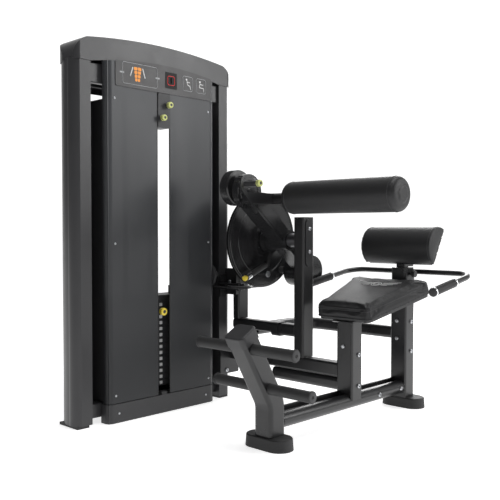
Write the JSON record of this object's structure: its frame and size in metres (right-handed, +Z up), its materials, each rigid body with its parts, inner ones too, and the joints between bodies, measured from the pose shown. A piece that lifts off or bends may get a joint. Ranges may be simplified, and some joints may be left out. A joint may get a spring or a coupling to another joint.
{
  "type": "abdominal crunch machine",
  "caption": "Selectorised seated abdominal and lower-back machine: covered weight tower, cam-driven swing arm with padded roller, sloped seat, lumbar pad, handles and foot rods.",
  "frame": {"origin": "floor point under the centre of the whole machine's bounding box", "axes": "+Z up; +X along the tower's face towards the lumbar pad, so the user faces -X; the weight tower is on the +Y side"},
  "size_m": [1.2613, 1.1115, 1.5],
  "materials": {
    "frame_black": "satin black powder coat",
    "arm_black": "satin black powder coat",
    "smoked_panel": "smoked glossy sheet",
    "label_panel": "dark printed panel",
    "plate_iron": "black painted iron",
    "chrome": "polished",
    "zinc": "zinc plated",
    "axle_steel": "blackened steel",
    "pulley_nylon": "black nylon",
    "moulded_black": "fine-grained black plastic",
    "rubber": "matt black rubber",
    "pad_leather": "black synthetic leather",
    "pale_knob": "pale yellow-green",
    "selector_yellow": "yellow",
    "cable_black": "black coated steel cable"
  },
  "bodies": {
    "frame": {"left_upright": "frame_black", "right_upright": "frame_black", "top_cap": "frame_black", "tower_crossbeams": "frame_black", "base_cover": "moulded_black", "shroud_left": "smoked_panel", "shroud_right": "smoked_panel", "rear_cover": "frame_black", "header_panel": "label_panel", "guide_rods": "chrome", "resting_plates": "plate_iron", "stack_bumpers": "rubber", "addon_housing": "moulded_black", "tower_feet": "rubber", "pulley_studs": "zinc", "pulley_bracket": "frame_black", "lift_cable": "cable_black", "lower_beams": "frame_black", "mid_beam": "frame_black", "link_tube": "frame_black", "pivot_post": "frame_black", "far_post": "frame_black", "pivot_axle": "axle_steel", "bolt_plates": "frame_black", "front_post": "frame_black", "front_post_cap": "moulded_black", "foot_rods": "rubber", "floor_feet": "rubber", "base_tube": "frame_black", "seat_post_front": "frame_black", "seat_post_rear": "frame_black", "seat_bracket": "frame_black", "seat_pad": "pad_leather", "lumbar_bracket": "frame_black", "handle_bar": "frame_black", "grips": "rubber", "frame_bolts": "zinc"},
    "arm": {"swing_arm": "arm_black", "cam_disc": "arm_black", "cam_cable": "cable_black", "counterweight": "arm_black", "roller_tube": "frame_black", "start_guard": "frame_black"},
    "stack": {"lifted_plates": "plate_iron", "head_plate": "plate_iron", "selector_stem": "zinc"},
    "selector": {"selector_pin": "selector_yellow"},
    "front_wheel": {"front_pulley": "pulley_nylon"},
    "turn_wheel": {"turn_pulley": "pulley_nylon"},
    "top_outer_wheel": {"top_pulley_outer": "pulley_nylon"},
    "top_inner_wheel": {"top_pulley_inner": "pulley_nylon"},
    "roller": {"roller_pad": "pad_leather"},
    "start_stop": {"start_pin": "pale_knob"},
    "lever": {"range_lever": "arm_black"},
    "button": {"lever_button": "selector_yellow"},
    "addon_upper": {"addon_knob_upper": "pale_knob"},
    "addon_lower": {"addon_knob_lower": "pale_knob"},
    "lumbar": {"lumbar_stem": "frame_black", "lumbar_pad": "pad_leather"},
    "lumbar_lock": {"lumbar_knob": "moulded_black"}
  },
  "joints": [
    {"name": "arm_swing", "type": "hinge", "parent": "frame", "child": "arm", "pos_m": [0.19569, 0.11675, 0.708], "axis": [0, -1, 0], "range_deg": [0, 50]},
    {"name": "stack_lift", "type": "slide", "parent": "frame", "child": "stack", "axis": [0, 0, 1], "range_m": [0, 0.1775]},
    {"name": "selector_pull", "type": "slide", "parent": "stack", "child": "selector", "axis": [0, -1, 0], "range_m": [0, 0.105]},
    {"name": "front_wheel_spin", "type": "hinge", "parent": "frame", "child": "front_wheel", "pos_m": [0.10969, 0.29125, 0.505], "axis": [0, 0, 1], "range_deg": [0, 212]},
    {"name": "turn_wheel_spin", "type": "hinge", "parent": "frame", "child": "turn_wheel", "pos_m": [0.06169, 0.43875, 0.553], "axis": [-1, 0, 0], "range_deg": [0, 212]},
    {"name": "top_outer_spin", "type": "hinge", "parent": "frame", "child": "top_outer_wheel", "pos_m": [0.01369, 0.48675, 1.322], "axis": [0, 1, 0], "range_deg": [0, 212]},
    {"name": "top_inner_spin", "type": "hinge", "parent": "frame", "child": "top_inner_wheel", "pos_m": [-0.17631, 0.48675, 1.322], "axis": [0, 1, 0], "range_deg": [0, 212]},
    {"name": "roller_spin", "type": "hinge", "parent": "arm", "child": "roller", "pos_m": [0.07069, -0.28325, 0.878], "axis": [0, -1, 0], "continuous": true},
    {"name": "start_pull", "type": "slide", "parent": "arm", "child": "start_stop", "axis": [0, -1, 0], "range_m": [0, 0.014], "stiffness_N_per_m": 400},
    {"name": "lever_turn", "type": "hinge", "parent": "arm", "child": "lever", "pos_m": [0.19569, 0.19075, 0.708], "axis": [0, -1, 0], "range_deg": [-20, 30]},
    {"name": "button_press", "type": "slide", "parent": "lever", "child": "button", "axis": [0.9235, 0, 0.3836], "range_m": [0, 0.006], "stiffness_N_per_m": 400},
    {"name": "addon_upper_pull", "type": "slide", "parent": "frame", "child": "addon_upper", "axis": [0, -1, 0], "range_m": [0, 0.012]},
    {"name": "addon_lower_pull", "type": "slide", "parent": "frame", "child": "addon_lower", "axis": [0, -1, 0], "range_m": [0, 0.012]},
    {"name": "lumbar_height", "type": "slide", "parent": "frame", "child": "lumbar", "axis": [0, 0, 1], "range_m": [0, 0.03]},
    {"name": "lumbar_lock_pull", "type": "slide", "parent": "frame", "child": "lumbar_lock", "axis": [0, -1, 0], "range_m": [0, 0.012], "stiffness_N_per_m": 400}
  ],
  "couplings": [
    {"joint": "stack_lift", "follows": "arm_swing", "m_per_rad": 0.203},
    {"joint": "front_wheel_spin", "follows": "arm_swing", "ratio": 4.2292},
    {"joint": "turn_wheel_spin", "follows": "arm_swing", "ratio": 4.2292},
    {"joint": "top_outer_spin", "follows": "arm_swing", "ratio": 4.2292},
    {"joint": "top_inner_spin", "follows": "arm_swing", "ratio": 4.2292}
  ]
}
